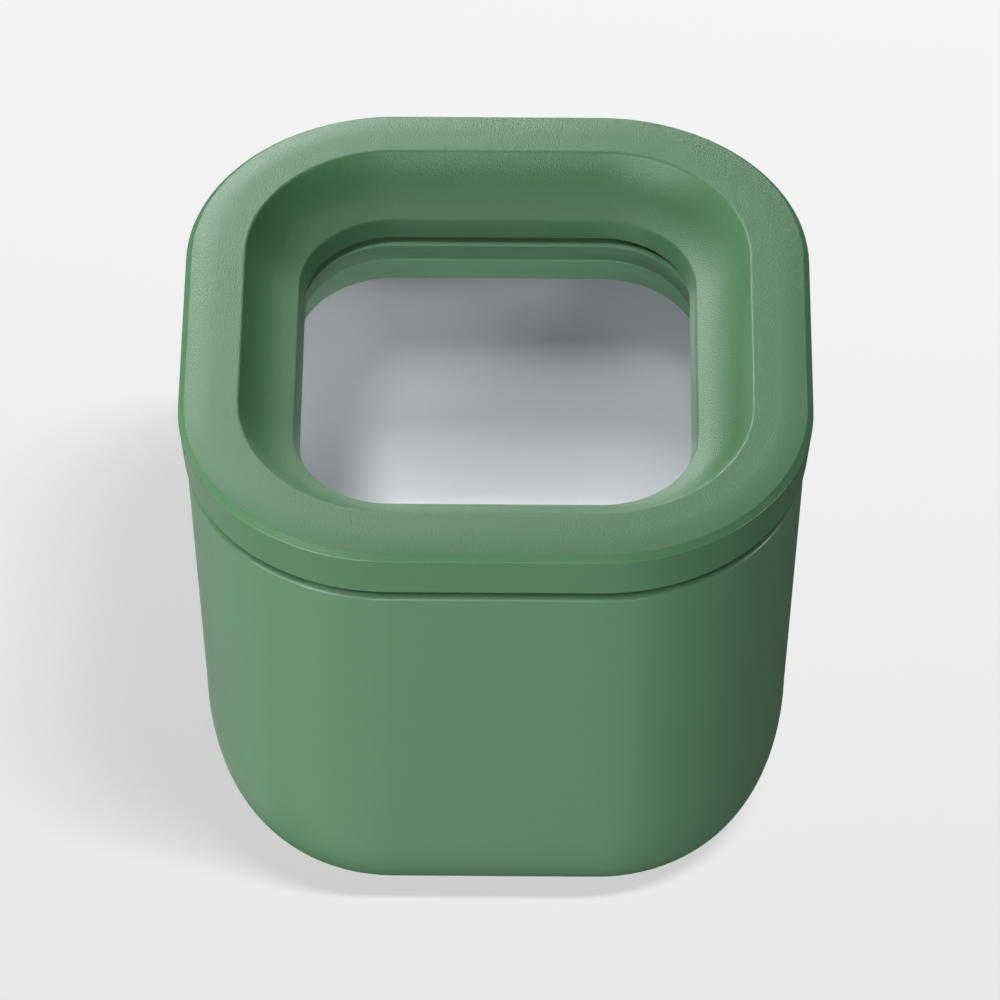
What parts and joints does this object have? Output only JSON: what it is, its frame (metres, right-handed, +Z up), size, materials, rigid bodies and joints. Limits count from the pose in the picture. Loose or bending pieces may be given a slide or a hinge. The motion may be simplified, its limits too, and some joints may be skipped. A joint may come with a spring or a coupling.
{
  "type": "food storage container",
  "caption": "Rounded square glass food keeper, coated green outside and pale grey inside, with a lift-off framed lid that holds a clear glass window.",
  "frame": {"origin": "middle of the square footprint, on the surface that the keeper stands on", "axes": "+Z up through the middle of the window; X and Y square to the four equal sides"},
  "size_m": [0.0842, 0.0842, 0.0743],
  "materials": {
    "bowl_glass": "pressed, bare only at the foot",
    "green_coating": "smooth satin",
    "grey_coating": "smooth satin",
    "lid_moulding": "fine spark grain on top, smooth skirt",
    "plug_moulding": "smooth matte",
    "window_glass": "clear, polished",
    "seal_silicone": "matte",
    "gasket_silicone": "matte"
  },
  "bodies": {
    "bowl": {"glass_bowl": "bowl_glass", "exterior_coating": "green_coating", "interior_coating": "grey_coating"},
    "lid": {"lid_frame": "lid_moulding", "lid_plug": "plug_moulding", "lid_window": "window_glass", "window_seal": "seal_silicone", "lid_gasket": "gasket_silicone"}
  },
  "joints": [
    {"name": "lid_lift", "type": "slide", "parent": "bowl", "child": "lid", "axis": [0, 0, 1], "range_m": [0, 0.06]}
  ]
}
